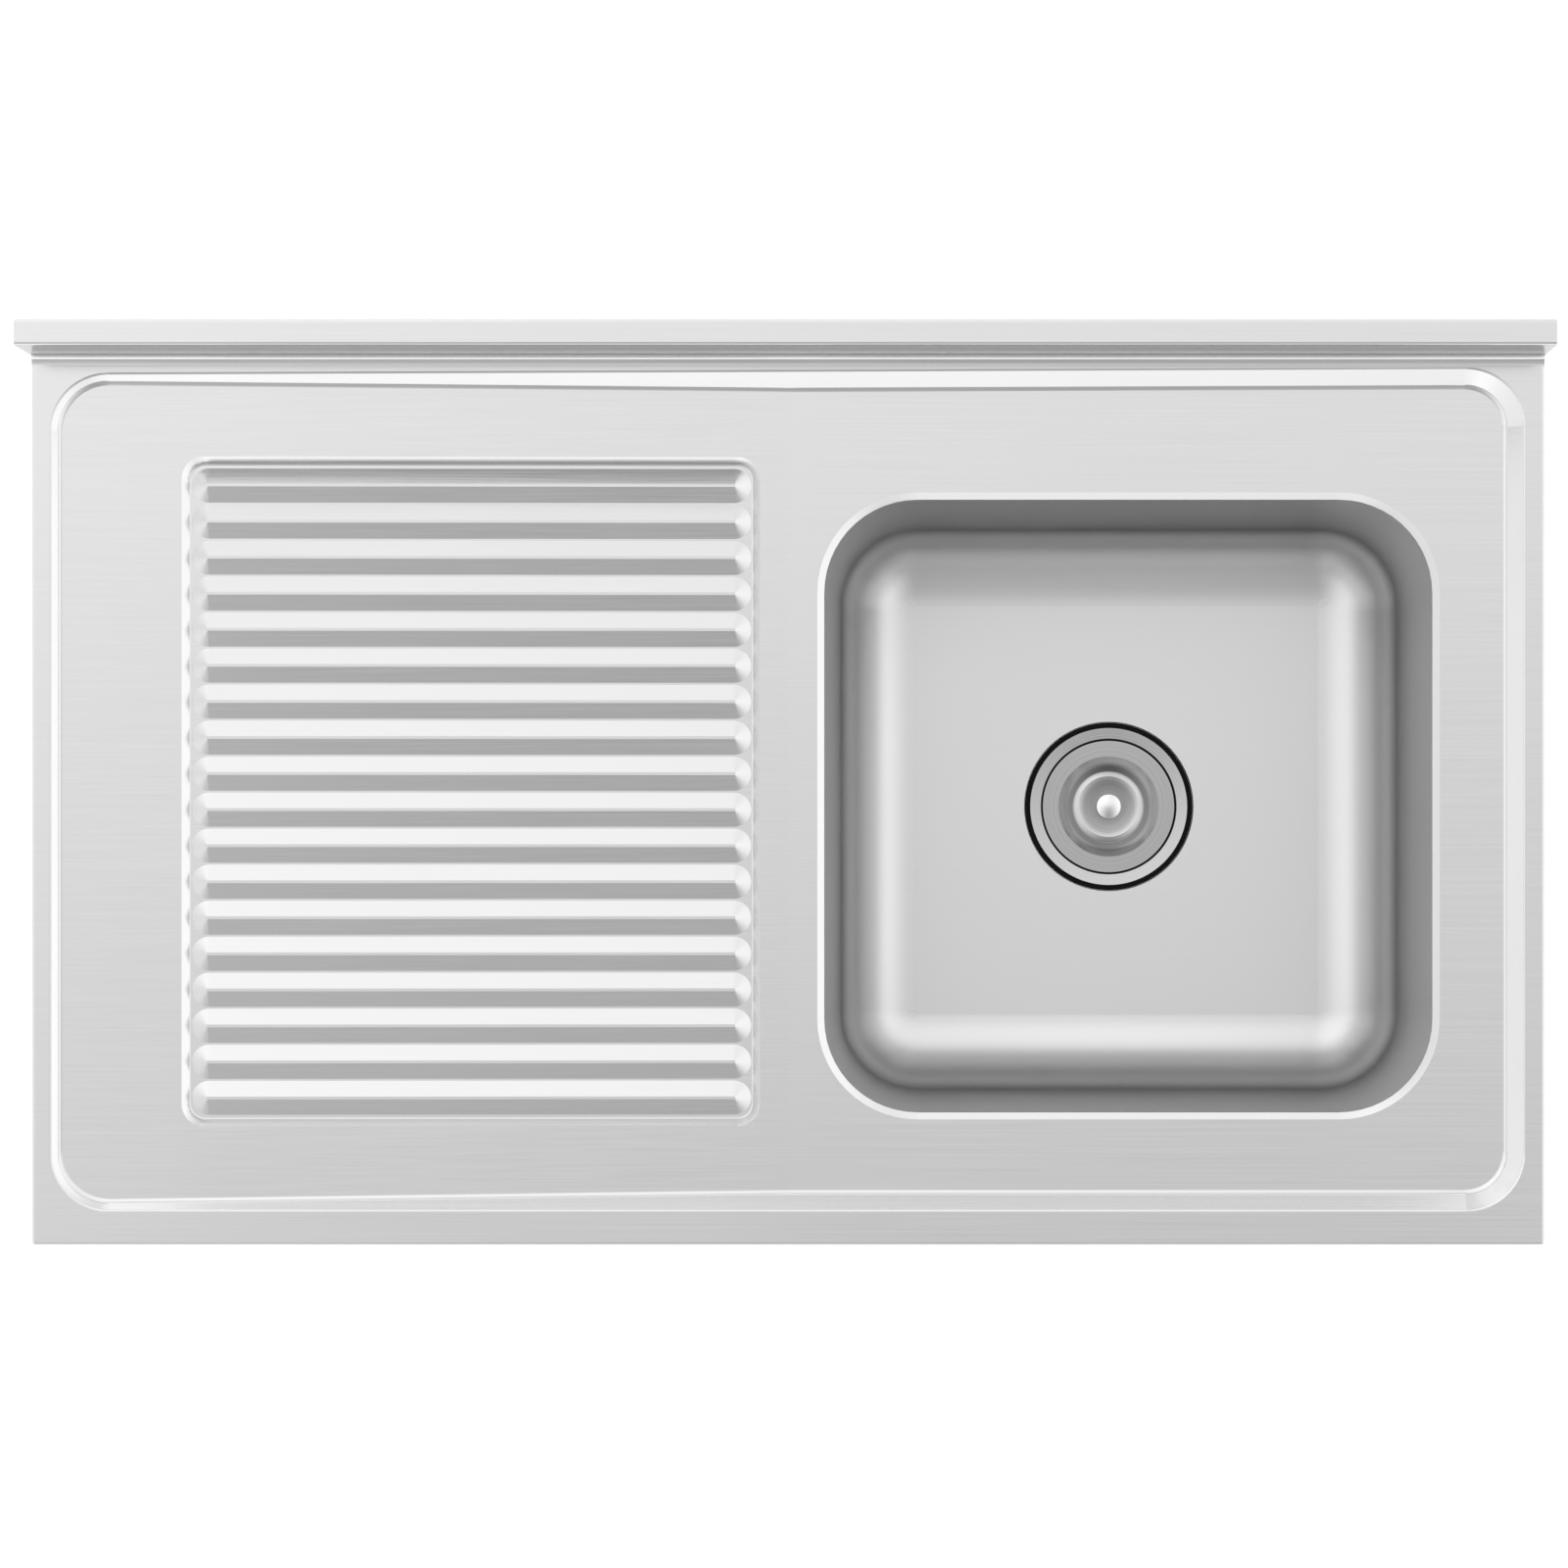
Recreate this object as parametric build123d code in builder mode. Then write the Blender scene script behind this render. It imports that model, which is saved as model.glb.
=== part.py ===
from build123d import *
import math
import os

os.makedirs("parts", exist_ok=True)

# Overall sizes in millimetres: X runs to the right, Y to the rear and Z up from the floor
unit_width = 1000
unit_depth = 605
work_height = 800
sheet = 1.0

# Folded upstand along the rear edge
upstand_height = 60
upstand_depth = 17
upstand_lip = 15
upstand_foot_radius = 6
upstand_top_radius = 1.5

# Turned-down apron round the front and the sides
apron_height = 40
apron_hem = 12
apron_corner = 2
apron_bend = 1.6

# Sunk working area inside the raised edge
margin_left = 12.5
margin_right = 13.5
margin_front = 23
margin_rear = 12
rear_flare = 3.8
sunk_corner = 38
side_angle = 45
sunk_depth_drainer = 5
sunk_depth_bowl = 11
edge_round = 2
foot_round = 4.5

# Ribbed drainer panel
panel_left_land = 80.5
panel_right_land = 19
panel_y = -2.5
panel_breadth = 444
panel_corner = 15
panel_recess = 5
panel_round = 1.5
ridge_count = 18
ridge_pitch = 23.9
ridge_width = 22.6
ridge_height = 4.4
ridge_crest = 1.9
ridge_end_gap = 1

# Bowl
bowl_left_land = 23.5
bowl_right_land = 48
bowl_y = -12
bowl_width = 404
bowl_breadth = 407
bowl_corner = 62
bowl_depth = 200
bowl_draft = 3.4
bowl_floor_radius = 51
bowl_waist_land = 1
rim_bevel = 4.5
rim_bevel_angle = 38
rim_drop = 12
pad_size = 260
pad_corner = 30
pad_thickness = 2
pad_clearance = 10

# Strainer, with depths counted down from the bowl floor
drain_shift_x = -5
drain_shift_y = 3
seat_diameter = 119.2
seat_depth = 5
seat_taper = 4
hole_clearance = 0.5
flange_diameter = 111
flange_thickness = 1.5
flange_fall = 1
flange_gasket_diameter = 118.5
flange_gasket_thickness = 2.8
strainer_wall = 1.5
lid_diameter = 93
lid_gap = 1
lid_ledge_depth = 4.5
cup_diameter = 85
cup_depth = 55
cup_floor = 2.5
cup_floor_fall = 2
basket_ledge_depth = 12
basket_ledge = 3
outlet_diameter = 48
outlet_wall = 4
outlet_length = 38

# Clamping rings under the bowl
under_gasket_thickness = 3.5
ring_diameter = 116
washer_thickness = 1.5
nut_height = 13
nut_lug_count = 8
nut_lug_width = 12
nut_lug_reach = 5
thread_clearance = 0.2

# Basket, its post and its stopper
basket_sheet = 0.8
basket_rim_gap = 0.5
basket_wall_gap = 1.5
basket_depth = 28
basket_floor_bevel = 5
basket_slot_count = 16
basket_slot_width = 3
basket_wall_slot = 13
basket_floor_slot = 14
post_diameter = 6
post_collar_diameter = 12
post_collar_height = 2.2
post_height = 15
post_knob_diameter = 14
post_knob_height = 6
post_spacer = 6
post_rivet_height = 2
stopper_diameter = 50
stopper_thickness = 5

# Lid, its knob and its screw
lid_sheet = 1
lid_dish_diameter = 71
lid_dish_depth = 5
lid_dish_lip_angle = 35
lid_groove_diameter = 50
lid_ring_diameter = 43
lid_ring_height = 1.2
lid_middle_diameter = 20
lid_middle_drop = 1.4
knob_diameter = 17
knob_side_height = 5
knob_dome = 1.6
knob_neck_diameter = 10
knob_neck_height = 4
knob_socket_depth = 6
screw_diameter = 4
screw_head_diameter = 8
screw_head_height = 2.4

# Stand
leg_inset_x = 47.5
leg_inset_y = 70
leg_diameter = 38
leg_wall = 1.2
channel_sheet = 1.5
channel_web = 28
channel_flange = 5.5
channel_height = 25
channel_length = 480
drainer_channel_length = 400
drainer_channel_height = 20
socket_plate_thickness = 3
socket_plate_breadth = 56
socket_diameter = 46
socket_depth = 40
socket_clearance = 0.2
set_screw_diameter = 6
set_screw_length = 8
set_screw_rise = 14
set_screw_key = 3
set_screw_key_depth = 3
rail_diameter = 25
rail_wall = 1.2
rail_height = 220

# Adjustable feet
foot_pad_diameter = 60
foot_pad_rim = 5
foot_pad_height = 18
foot_pad_top_diameter = 30
foot_socket_depth = 12
stem_diameter = 16
stem_length = 110
stem_chamfer = 1
stem_hex = 24
stem_hex_height = 10
insert_flange = 4
insert_length = 30
hex_sides = 6

# Clearances between pieces
seat_gap = 0.05
rest_gap = 0.2
turn_gap = 0.3
running_gap = 0.1
weld_gap = 0.2

# Tolerance for picking edges by their place
pick = 0.05

# Levels and edges that several pieces share
half_width = unit_width / 2
front_y = -unit_depth / 2
rear_y = unit_depth / 2
upstand_y = rear_y - upstand_depth
sunk_left = margin_left - half_width
sunk_right = half_width - margin_right
sunk_front = front_y + margin_front
sunk_rear = upstand_y - margin_rear
sunk_rear_right = sunk_rear + rear_flare
sunk_outline = [
    (sunk_left, sunk_front),
    (sunk_right, sunk_front),
    (sunk_right, sunk_rear_right),
    (sunk_left, sunk_rear),
]
plate_rear_y = (sunk_rear_right + upstand_y - upstand_foot_radius) / 2
apron_z = work_height - apron_height
floor_z = work_height - sunk_depth_bowl
side_run = 1 / math.tan(math.radians(side_angle))
bowl_x = sunk_right - sunk_depth_bowl * side_run - bowl_right_land - bowl_width / 2
fall_start_x = sunk_left + sunk_depth_drainer * side_run
fall_end_x = bowl_x - bowl_width / 2 - bowl_left_land
fall_slope = (sunk_depth_bowl - sunk_depth_drainer) / (fall_end_x - fall_start_x)
panel_left = fall_start_x + panel_left_land
panel_right = fall_end_x - panel_right_land
panel_length = panel_right - panel_left
panel_x = (panel_left + panel_right) / 2
panel_center = (panel_x - fall_end_x, panel_y)
ridge_length = panel_length - 2 * (panel_recess * side_run + ridge_end_gap)
ridge_taper = math.degrees(math.atan((ridge_width - ridge_crest) / 2 / ridge_height))
weld_z = floor_z - rim_drop
bowl_floor_z = floor_z - bowl_depth
waist_z = bowl_floor_z + bowl_floor_radius + bowl_waist_land
draft_inset = (weld_z - waist_z) * math.tan(math.radians(bowl_draft))
drain_x = bowl_x + drain_shift_x
drain_y = bowl_y + drain_shift_y
drain_plane = Plane((drain_x, drain_y, bowl_floor_z), x_dir=(1, 0, 0), z_dir=(0, -1, 0))
drain_axis = Axis((drain_x, drain_y, 0), (0, 0, 1))
rest_z = work_height - sunk_depth_bowl - sheet - seat_gap
channel_z = rest_z - channel_height
socket_top_z = channel_z - seat_gap
leg_top_z = socket_top_z - socket_plate_thickness - rest_gap
stem_base_z = foot_pad_height - foot_socket_depth + turn_gap
hex_z = foot_pad_height + turn_gap
insert_z = hex_z + stem_hex_height + turn_gap
leg_base_z = insert_z + insert_flange + seat_gap
leg_x = half_width - leg_inset_x
leg_y = unit_depth / 2 - leg_inset_y
leg_places = {
    "front_left": (-leg_x, -leg_y),
    "front_right": (leg_x, -leg_y),
    "rear_left": (-leg_x, leg_y),
    "rear_right": (leg_x, leg_y),
}


def side_offset(drop, angle):
    """How far a bend line moves sideways when a sheet that turns by angle is offset by drop."""
    return drop * math.tan(math.radians(angle) / 2)


def drainer_plane(drop):
    """Plane of the falling drainer floor, lowered by drop."""
    return Plane((fall_end_x, 0, floor_z - drop), x_dir=(1, 0, -fall_slope), z_dir=(fall_slope, 0, 1))


def under_deck(x):
    """Height of the underside of the sunk floor at x."""
    return rest_z + max(0, fall_end_x - x) * fall_slope


# Pressed top: each form is made once for the upper face and once, one sheet lower, for the underside,
# where the shallow bends stay sharp
def sunk_tray(drop):
    grow = side_offset(drop, side_angle)
    level = floor_z - drop
    with BuildPart() as tray:
        with BuildSketch(Plane.XY.offset(work_height - drop)):
            Polygon(*sunk_outline, align=None)
            fillet(vertices(), sunk_corner)
            if drop > 0:
                offset(amount=grow)
        extrude(amount=-sunk_depth_bowl, taper=side_angle)
        with BuildSketch(Plane.XZ):
            with BuildLine():
                rise = (fall_end_x + half_width) * fall_slope
                Polyline((fall_end_x, level), (-half_width, level), (-half_width, level + rise), close=True)
            make_face()
        extrude(amount=unit_depth, both=True, mode=Mode.SUBTRACT)
        if drop == 0:
            floors = tray.faces().sort_by(Axis.Z)[:2]
            foot = floors.edges().filter_by(lambda edge: abs(edge.center().X - fall_end_x) > pick)
            fillet(foot, foot_round)
    return tray.part


def drainer_recess(drop):
    grow = side_offset(drop, side_angle)
    with BuildPart() as recess:
        with BuildSketch(drainer_plane(drop)):
            with Locations(panel_center):
                RectangleRounded(panel_length + 2 * grow, panel_breadth + 2 * grow, panel_corner + grow)
        extrude(amount=-panel_recess, taper=side_angle)
        if drop == 0:
            fillet(recess.faces().sort_by(Axis.Z)[0].edges(), panel_round)
    return recess.part


def drainer_ridges(drop):
    """Ridges of the drainer: round-nosed above, plain hollows with square ends on the underside."""
    shrink = side_offset(drop, 90 - ridge_taper)
    with BuildPart() as ridges:
        with BuildSketch(drainer_plane(drop).offset(-panel_recess)):
            with Locations(panel_center):
                with GridLocations(0, ridge_pitch, 1, ridge_count):
                    if drop == 0:
                        SlotOverall(ridge_length, ridge_width)
                    else:
                        Rectangle(ridge_length - ridge_width, ridge_width - 2 * shrink)
        extrude(amount=ridge_height, taper=ridge_taper)
    return ridges.part


def pressed_form(drop, overrun, opening_depth):
    tray = sunk_tray(drop)
    recess = drainer_recess(drop)
    ridges = drainer_ridges(drop)
    top_z = work_height - drop
    with BuildPart() as form:
        with BuildSketch(Plane.XY.offset(top_z)):
            with Locations((0, front_y + drop)):
                plate_depth = plate_rear_y + overrun - front_y - drop
                Rectangle(unit_width - 2 * drop, plate_depth, align=(Align.CENTER, Align.MIN))
        extrude(amount=-(apron_height - 2 * drop))
        fillet(form.edges().filter_by(Axis.Z).group_by(Axis.Y)[0], apron_corner - drop)
        rear_edge = plate_rear_y + overrun - pick
        top_edges = form.faces().sort_by(Axis.Z)[-1].edges()
        fillet(top_edges.filter_by(lambda edge: edge.center().Y < rear_edge), apron_bend - drop)
        add(tray, mode=Mode.SUBTRACT)
        if drop == 0:
            raised = form.edges().filter_by_position(Axis.Z, top_z - pick, top_z + pick)
            raised = raised.filter_by(
                lambda edge: abs(edge.center().X) < half_width - apron_bend - edge_round
                and front_y + apron_bend + edge_round < edge.center().Y < sunk_rear_right + pick
            )
            fillet(raised, edge_round)
        add(recess, mode=Mode.SUBTRACT)
        add(ridges)
        with BuildSketch(Plane.XY.offset(floor_z - drop)):
            with Locations((bowl_x, bowl_y)):
                RectangleRounded(bowl_width + 2 * drop, bowl_breadth + 2 * drop, bowl_corner + drop)
        extrude(amount=-opening_depth, mode=Mode.SUBTRACT)
        bevel_run = rim_bevel - drop + side_offset(drop, rim_bevel_angle)
        bevel_side = bevel_run + drop
        with BuildSketch(Plane.XY.offset(floor_z - drop)):
            with Locations((bowl_x, bowl_y)):
                bevel_width = bowl_width + 2 * bevel_side
                bevel_breadth = bowl_breadth + 2 * bevel_side
                RectangleRounded(bevel_width, bevel_breadth, bowl_corner + bevel_side)
        bevel_drop = bevel_run * math.tan(math.radians(rim_bevel_angle))
        extrude(amount=-bevel_drop, taper=90 - rim_bevel_angle, mode=Mode.SUBTRACT)
    return form.part


upper_form = pressed_form(0, 0, apron_height)
under_form = pressed_form(sheet, upstand_depth, rim_drop - sheet)

# Worktop: pressed sheet, apron hem, folded upstand and its closed ends
with BuildPart() as worktop:
    add(upper_form)
    add(under_form, mode=Mode.SUBTRACT)
    with BuildSketch(Plane.XY.offset(apron_z)):
        with Locations((0, front_y + apron_hem)):
            Rectangle(unit_width - 2 * apron_hem, unit_depth, align=(Align.CENTER, Align.MIN))
    extrude(amount=sheet, mode=Mode.SUBTRACT)
    upstand_top = work_height + upstand_height
    with BuildSketch(Plane.YZ):
        with BuildLine():
            FilletPolyline(
                (plate_rear_y, work_height - sheet / 2),
                (upstand_y + sheet / 2, work_height - sheet / 2),
                (upstand_y + sheet / 2, upstand_top - sheet / 2),
                (rear_y - sheet / 2, upstand_top - sheet / 2),
                (rear_y - sheet / 2, upstand_top - upstand_lip),
                radius=[upstand_foot_radius + sheet / 2, upstand_top_radius, upstand_top_radius],
            )
        trace(line_width=sheet)
    extrude(amount=half_width, both=True)
    with BuildSketch(Plane.YZ.offset(half_width - sheet), Plane.YZ.offset(-half_width)):
        with BuildLine():
            Polyline(
                (plate_rear_y, apron_z),
                (rear_y - sheet / 2, apron_z),
                (rear_y - sheet / 2, upstand_top - upstand_top_radius),
                (upstand_y + sheet / 2, upstand_top - upstand_top_radius),
                (upstand_y + sheet / 2, work_height - sheet / 2),
                (plate_rear_y, work_height - sheet / 2),
                close=True,
            )
        make_face()
    extrude(amount=sheet)
worktop.part.label = "worktop"
export_step(worktop.part, "parts/worktop.step")


# Bowl: deep-drawn shell with drafted walls, a round foot and a sunk seat for the strainer
def bowl_form(grow):
    with BuildPart() as form:
        with BuildSketch(Plane.XY.offset(weld_z)):
            with Locations((bowl_x, bowl_y)):
                RectangleRounded(bowl_width + 2 * grow, bowl_breadth + 2 * grow, bowl_corner + grow)
        extrude(amount=waist_z - weld_z, taper=bowl_draft)
        with BuildSketch(Plane.XY.offset(waist_z)):
            with Locations((bowl_x, bowl_y)):
                inset = grow - draft_inset
                RectangleRounded(bowl_width + 2 * inset, bowl_breadth + 2 * inset, bowl_corner + inset)
        extrude(amount=bowl_floor_z - grow - waist_z)
        fillet(form.faces().sort_by(Axis.Z)[0].edges(), bowl_floor_radius + grow)
        with BuildSketch(Plane.XY.offset(bowl_floor_z - grow)):
            with Locations((drain_x, drain_y)):
                mouth = seat_diameter / 2 + seat_depth * math.tan(math.radians(seat_taper))
                Circle(mouth + side_offset(grow, 90 - seat_taper))
        extrude(amount=-seat_depth, taper=seat_taper)
    return form.part


shoulder_radius = lid_diameter / 2 + lid_gap + strainer_wall
bowl_outside = bowl_form(sheet)
bowl_inside = bowl_form(0)
with BuildPart() as bowl:
    add(bowl_outside)
    add(bowl_inside, mode=Mode.SUBTRACT)
    with BuildSketch(Plane.XY.offset(bowl_floor_z - seat_depth)):
        with Locations((drain_x, drain_y)):
            Circle(shoulder_radius + hole_clearance)
    extrude(amount=-sheet, mode=Mode.SUBTRACT)
bowl.part.label = "bowl"
export_step(bowl.part, "parts/bowl.step")

# Damping pad stuck under the bowl floor
with BuildPart() as sound_pad:
    with BuildSketch(Plane.XY.offset(bowl_floor_z - sheet - seat_gap)):
        with Locations((bowl_x, bowl_y)):
            RectangleRounded(pad_size, pad_size, pad_corner)
        with Locations((drain_x, drain_y)):
            Circle(seat_diameter / 2 + seat_depth + pad_clearance, mode=Mode.SUBTRACT)
    extrude(amount=-pad_thickness)
sound_pad.part.label = "sound_pad"
export_step(sound_pad.part, "parts/sound_pad.step")

# Strainer body: funnel flange, ledge for the lid, ledge for the basket and cup
flange_z = flange_gasket_thickness - seat_depth
flange_top_z = flange_z + flange_thickness
lid_recess_radius = lid_diameter / 2 + lid_gap
cup_radius = cup_diameter / 2
cup_outer_radius = cup_radius + strainer_wall
ledge_radius = cup_radius - basket_ledge
outlet_radius = outlet_diameter / 2
outlet_bore = outlet_radius - outlet_wall
cup_floor_z = -cup_depth - cup_floor_fall
outlet_z = cup_floor_z - cup_floor
with BuildPart() as strainer_body:
    with BuildSketch(drain_plane):
        with BuildLine():
            Polyline(
                (flange_diameter / 2, flange_z),
                (flange_diameter / 2, flange_top_z),
                (lid_recess_radius, flange_top_z - flange_fall),
                (lid_recess_radius, -lid_ledge_depth),
                (cup_radius, -lid_ledge_depth),
                (cup_radius, -basket_ledge_depth),
                (ledge_radius, -basket_ledge_depth),
                (ledge_radius, -cup_depth),
                (outlet_bore, cup_floor_z),
                (outlet_bore, outlet_z),
                (outlet_radius, outlet_z),
                (ledge_radius, -cup_depth - cup_floor),
                (cup_outer_radius, -cup_depth),
                (cup_outer_radius, -lid_ledge_depth - strainer_wall),
                (shoulder_radius, -lid_ledge_depth - strainer_wall),
                (shoulder_radius, flange_z),
                close=True,
            )
        make_face()
    revolve(axis=drain_axis)
strainer_body.part.label = "strainer_body"
export_step(strainer_body.part, "parts/strainer_body.step")


# Flat rings: the outlet tube under the cup, and the rings that clamp the strainer to the bowl floor
def flat_ring(outer_radius, inner_radius, top, thickness):
    with BuildPart() as ring:
        with BuildSketch(Plane.XY.offset(bowl_floor_z + top)):
            with Locations((drain_x, drain_y)):
                Circle(outer_radius)
                Circle(inner_radius, mode=Mode.SUBTRACT)
        extrude(amount=-thickness)
    return ring.part


hole_radius = shoulder_radius + hole_clearance
gasket_z = -seat_depth - sheet
washer_z = gasket_z - under_gasket_thickness
nut_z = washer_z - washer_thickness
thread_radius = cup_outer_radius + thread_clearance
outlet_tube = flat_ring(outlet_radius, outlet_bore, outlet_z - seat_gap, outlet_length)
outlet_tube.label = "outlet_tube"
export_step(outlet_tube, "parts/outlet_tube.step")
flange_gasket = flat_ring(flange_gasket_diameter / 2, hole_radius, flange_z, flange_gasket_thickness)
flange_gasket.label = "flange_gasket"
export_step(flange_gasket, "parts/flange_gasket.step")
under_gasket = flat_ring(ring_diameter / 2, hole_radius, gasket_z, under_gasket_thickness)
under_gasket.label = "under_gasket"
export_step(under_gasket, "parts/under_gasket.step")
slip_washer = flat_ring(ring_diameter / 2, thread_radius, washer_z, washer_thickness)
slip_washer.label = "slip_washer"
export_step(slip_washer, "parts/slip_washer.step")

# Lock nut with lugs for a spanner
with BuildPart() as lock_nut:
    with BuildSketch(Plane.XY.offset(bowl_floor_z + nut_z)):
        with Locations((drain_x, drain_y)):
            Circle(ring_diameter / 2 - nut_lug_reach)
            with PolarLocations(ring_diameter / 2 - nut_lug_reach, nut_lug_count):
                Rectangle(2 * nut_lug_reach, nut_lug_width)
            Circle(thread_radius, mode=Mode.SUBTRACT)
    extrude(amount=-nut_height)
lock_nut.part.label = "lock_nut"
export_step(lock_nut.part, "parts/lock_nut.step")

# Basket: pressed cup with slots in its floor and its wall
basket_rim_z = rest_gap - basket_ledge_depth
basket_radius = ledge_radius - basket_wall_gap
basket_floor_z = basket_rim_z - basket_depth
post_hole_radius = post_diameter / 2 + running_gap
collar_radius = post_collar_diameter / 2
with BuildPart() as basket:
    with BuildSketch(drain_plane):
        with BuildLine():
            Polyline(
                (cup_radius - basket_rim_gap, basket_rim_z),
                (cup_radius - basket_rim_gap, basket_rim_z + basket_sheet),
                (basket_radius - basket_sheet, basket_rim_z + basket_sheet),
                (basket_radius - basket_sheet, basket_floor_z + basket_sheet),
                (post_hole_radius, basket_floor_z + basket_sheet),
                (post_hole_radius, basket_floor_z),
                (basket_radius, basket_floor_z),
                (basket_radius, basket_rim_z),
                close=True,
            )
        make_face()
    revolve(axis=drain_axis)
    floor_edges = basket.edges().filter_by(GeomType.CIRCLE)
    floor_edges = floor_edges.filter_by(lambda edge: edge.radius > basket_radius - 2 * basket_sheet)
    floor_edges = floor_edges.group_by(Axis.Z)
    chamfer(floor_edges[0], basket_floor_bevel)
    chamfer(floor_edges[1], basket_floor_bevel - basket_sheet / 2)
    with BuildSketch(Plane.XY.offset(bowl_floor_z + basket_floor_z)):
        with Locations((drain_x, drain_y)):
            with PolarLocations((collar_radius + basket_radius) / 2, basket_slot_count):
                Rectangle(basket_floor_slot, basket_slot_width)
    extrude(amount=basket_sheet, mode=Mode.SUBTRACT)
    slot_z = bowl_floor_z + (basket_rim_z + basket_floor_z + basket_floor_bevel) / 2
    slot_turns = [math.radians(360 / basket_slot_count * index) for index in range(basket_slot_count)]
    slot_planes = [
        Plane((drain_x, drain_y, slot_z), x_dir=(0, 0, 1), z_dir=(math.cos(turn), math.sin(turn), 0))
        for turn in slot_turns
    ]
    with BuildSketch(*slot_planes):
        Rectangle(basket_wall_slot, basket_slot_width)
    extrude(amount=cup_radius, mode=Mode.SUBTRACT)
basket.part.label = "basket"
export_step(basket.part, "parts/basket.step")

# Post through the basket floor, with a small grip above and the stopper riveted on below
stopper_top_z = basket_floor_z - seat_gap - post_spacer
stopper_base_z = stopper_top_z - stopper_thickness
post_radius = post_diameter / 2
collar_z = basket_floor_z + basket_sheet + seat_gap
grip_radius = post_knob_diameter / 2
grip_z = collar_z + post_height
with BuildPart() as basket_post:
    with BuildSketch(drain_plane):
        with BuildLine():
            Polyline(
                (0, grip_z),
                (grip_radius - post_collar_height, grip_z),
                (grip_radius, grip_z - post_collar_height),
                (grip_radius, grip_z - post_knob_height + post_collar_height),
                (post_radius, grip_z - post_knob_height),
                (post_radius, collar_z + post_collar_height),
                (collar_radius, collar_z + post_collar_height),
                (collar_radius, collar_z),
                (post_radius, collar_z),
                (post_radius, basket_floor_z - seat_gap),
                (collar_radius, basket_floor_z - seat_gap),
                (collar_radius, stopper_top_z),
                (post_radius, stopper_top_z),
                (post_radius, stopper_base_z - seat_gap),
                (collar_radius, stopper_base_z - seat_gap),
                (collar_radius, stopper_base_z - seat_gap - post_rivet_height),
                (0, stopper_base_z - seat_gap - post_rivet_height),
                close=True,
            )
        make_face()
    revolve(axis=drain_axis)
basket_post.part.label = "basket_post"
export_step(basket_post.part, "parts/basket_post.step")

with BuildPart() as basket_stopper:
    with BuildSketch(Plane.XY.offset(bowl_floor_z + stopper_top_z)):
        with Locations((drain_x, drain_y)):
            Circle(stopper_diameter / 2)
            Circle(post_hole_radius, mode=Mode.SUBTRACT)
    extrude(amount=-stopper_thickness)
    chamfer(basket_stopper.faces().sort_by(Axis.Z)[0].outer_wire().edges(), stopper_thickness / 2)
basket_stopper.part.label = "basket_stopper"
export_step(basket_stopper.part, "parts/basket_stopper.step")

# Lid: flat ring, dished groove, raised inner ring and a shallow middle under the knob
lid_z = rest_gap - lid_ledge_depth
groove_z = lid_z - lid_dish_depth
ring_z = groove_z + lid_ring_height
middle_z = ring_z - lid_middle_drop
dish_radius = lid_dish_diameter / 2
groove_radius = lid_groove_diameter / 2
ring_radius = lid_ring_diameter / 2
middle_radius = lid_middle_diameter / 2
screw_hole_radius = screw_diameter / 2 + running_gap
lip_angle = math.radians(lid_dish_lip_angle)
lip_tangent = (-math.cos(lip_angle), -math.sin(lip_angle))
with BuildPart() as lid:
    with BuildSketch(drain_plane):
        with BuildLine():
            Polyline(
                (dish_radius, lid_z + lid_sheet),
                (lid_diameter / 2, lid_z + lid_sheet),
                (lid_diameter / 2, lid_z),
                (dish_radius, lid_z),
            )
            TangentArc((dish_radius, lid_z), (groove_radius, groove_z), tangent=lip_tangent)
            Line((groove_radius, groove_z), (ring_radius, ring_z))
            TangentArc((middle_radius, middle_z), (ring_radius, ring_z), tangent=(1, 0))
            Polyline(
                (middle_radius, middle_z),
                (screw_hole_radius, middle_z),
                (screw_hole_radius, middle_z + lid_sheet),
                (middle_radius, middle_z + lid_sheet),
            )
            upper_lip = (dish_radius, lid_z + lid_sheet)
            upper_groove = (groove_radius, groove_z + lid_sheet)
            upper_ring = (ring_radius, ring_z + lid_sheet)
            upper_middle = (middle_radius, middle_z + lid_sheet)
            TangentArc(upper_middle, upper_ring, tangent=(1, 0))
            Line(upper_ring, upper_groove)
            TangentArc(upper_lip, upper_groove, tangent=lip_tangent)
        make_face()
    revolve(axis=drain_axis)
lid.part.label = "lid"
export_step(lid.part, "parts/lid.step")

# Domed button knob on the lid, and the screw that holds it from below
knob_base_z = middle_z + lid_sheet
knob_radius = knob_diameter / 2
neck_radius = knob_neck_diameter / 2
knob_under_z = knob_base_z + knob_neck_height
knob_edge_z = knob_under_z + knob_side_height
with BuildPart() as lid_knob:
    with BuildSketch(drain_plane):
        with BuildLine():
            Polyline(
                (0, knob_edge_z + knob_dome),
                (0, knob_base_z + knob_socket_depth),
                (screw_hole_radius, knob_base_z + knob_socket_depth),
                (screw_hole_radius, knob_base_z),
                (neck_radius, knob_base_z),
                (neck_radius, knob_under_z),
                (knob_radius, knob_under_z),
                (knob_radius, knob_edge_z),
            )
            TangentArc((0, knob_edge_z + knob_dome), (knob_radius, knob_edge_z), tangent=(1, 0))
        make_face()
    revolve(axis=drain_axis)
lid_knob.part.label = "lid_knob"
export_step(lid_knob.part, "parts/lid_knob.step")

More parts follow.
